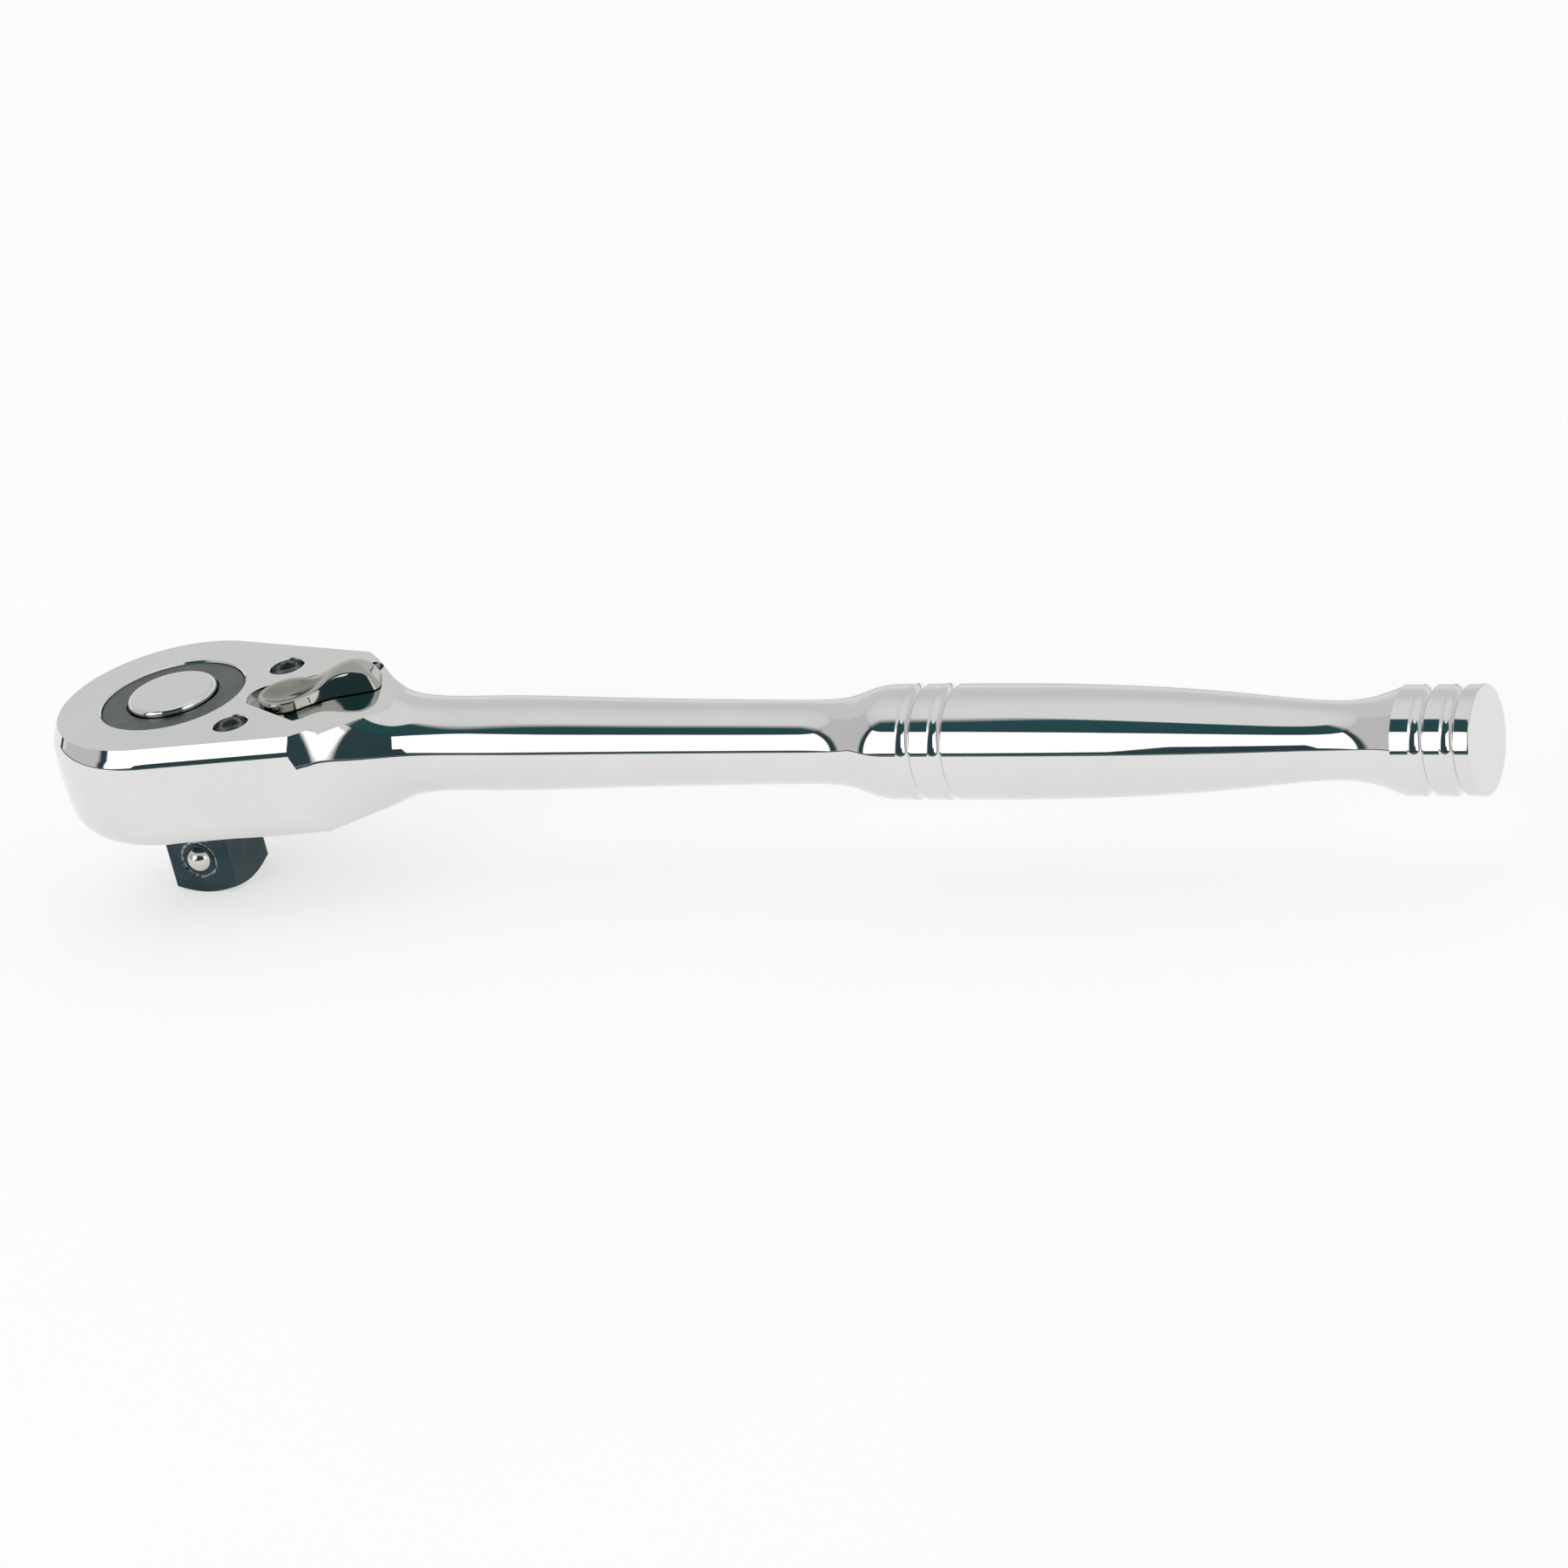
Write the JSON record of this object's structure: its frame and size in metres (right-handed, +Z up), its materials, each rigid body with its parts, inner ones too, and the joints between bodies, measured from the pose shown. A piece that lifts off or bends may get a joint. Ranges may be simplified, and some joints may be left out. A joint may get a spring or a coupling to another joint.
{
  "type": "ratchet wrench",
  "caption": "Reversible square-drive ratchet wrench with a pear-shaped head, quick-release button, thumb lever and waisted metal handle.",
  "frame": {"origin": "centre of the drive square's end face", "axes": "+Z up the drive axis towards the button, +X along the handle, +Y to the left of the handle"},
  "size_m": [0.2023, 0.0346, 0.03],
  "materials": {
    "chrome": "polished chrome plate",
    "nickel_lever": "slightly warm satin nickel-chrome plate",
    "black_oxide": "dark blue-grey phosphate on ground steel",
    "dark_steel": "oiled dark steel",
    "bright_steel": "polished hardened steel",
    "spring_steel": "bright drawn wire",
    "washer_steel": "ground flat",
    "pawl_steel": "hardened, lightly oiled",
    "rubber": "matte nitrile"
  },
  "bodies": {
    "handle": {"body": "chrome", "retaining_plate": "chrome", "plate_screws": "dark_steel", "upper_thrust_washer": "washer_steel", "lower_thrust_washer": "washer_steel"},
    "gear": {"drive_gear": "black_oxide", "gear_seal_ring": "rubber", "hub_seal_ring": "rubber", "button_retaining_ring": "spring_steel", "release_spring": "spring_steel"},
    "button": {"release_button": "chrome", "release_pin": "bright_steel"},
    "ball": {"detent_ball": "bright_steel"},
    "lever": {"reverse_lever": "nickel_lever", "lever_spindle": "bright_steel", "lever_seal_ring": "rubber", "lever_retaining_ring": "spring_steel", "plunger_spring": "spring_steel"},
    "plunger": {"lever_plunger": "bright_steel"},
    "pawl": {"pawl": "pawl_steel"}
  },
  "joints": [
    {"name": "gear_spin", "type": "hinge", "parent": "handle", "child": "gear", "pos_m": [0, 0, 0.015], "axis": [0, 0, 1], "continuous": true},
    {"name": "button_press", "type": "slide", "parent": "gear", "child": "button", "axis": [0, 0, -1], "range_m": [0, 0.0022], "stiffness_N_per_m": 600, "springref_m": -0.002, "deforming": ["release_spring"]},
    {"name": "ball_retract", "type": "slide", "parent": "gear", "child": "ball", "axis": [0, 1, 0], "range_m": [0, 0.001]},
    {"name": "lever_turn", "type": "hinge", "parent": "handle", "child": "lever", "pos_m": [0.018, 0, 0.02], "axis": [0, 0, 1], "range_deg": [-54, 0]},
    {"name": "pawl_rock", "type": "hinge", "parent": "handle", "child": "pawl", "pos_m": [0.018, 0, 0.018], "axis": [0, 0, 1], "range_deg": [0, 10]},
    {"name": "plunger_slide", "type": "slide", "parent": "lever", "child": "plunger", "axis": [-0.891, -0.454, 0], "range_m": [-0.0005, 0], "stiffness_N_per_m": 400, "springref_m": 0.001, "deforming": ["plunger_spring"]}
  ],
  "couplings": [
    {"joint": "ball_retract", "follows": "button_press", "ratio": 0.4545},
    {"joint": "pawl_rock", "follows": "lever_turn", "ratio": -0.18518}
  ]
}
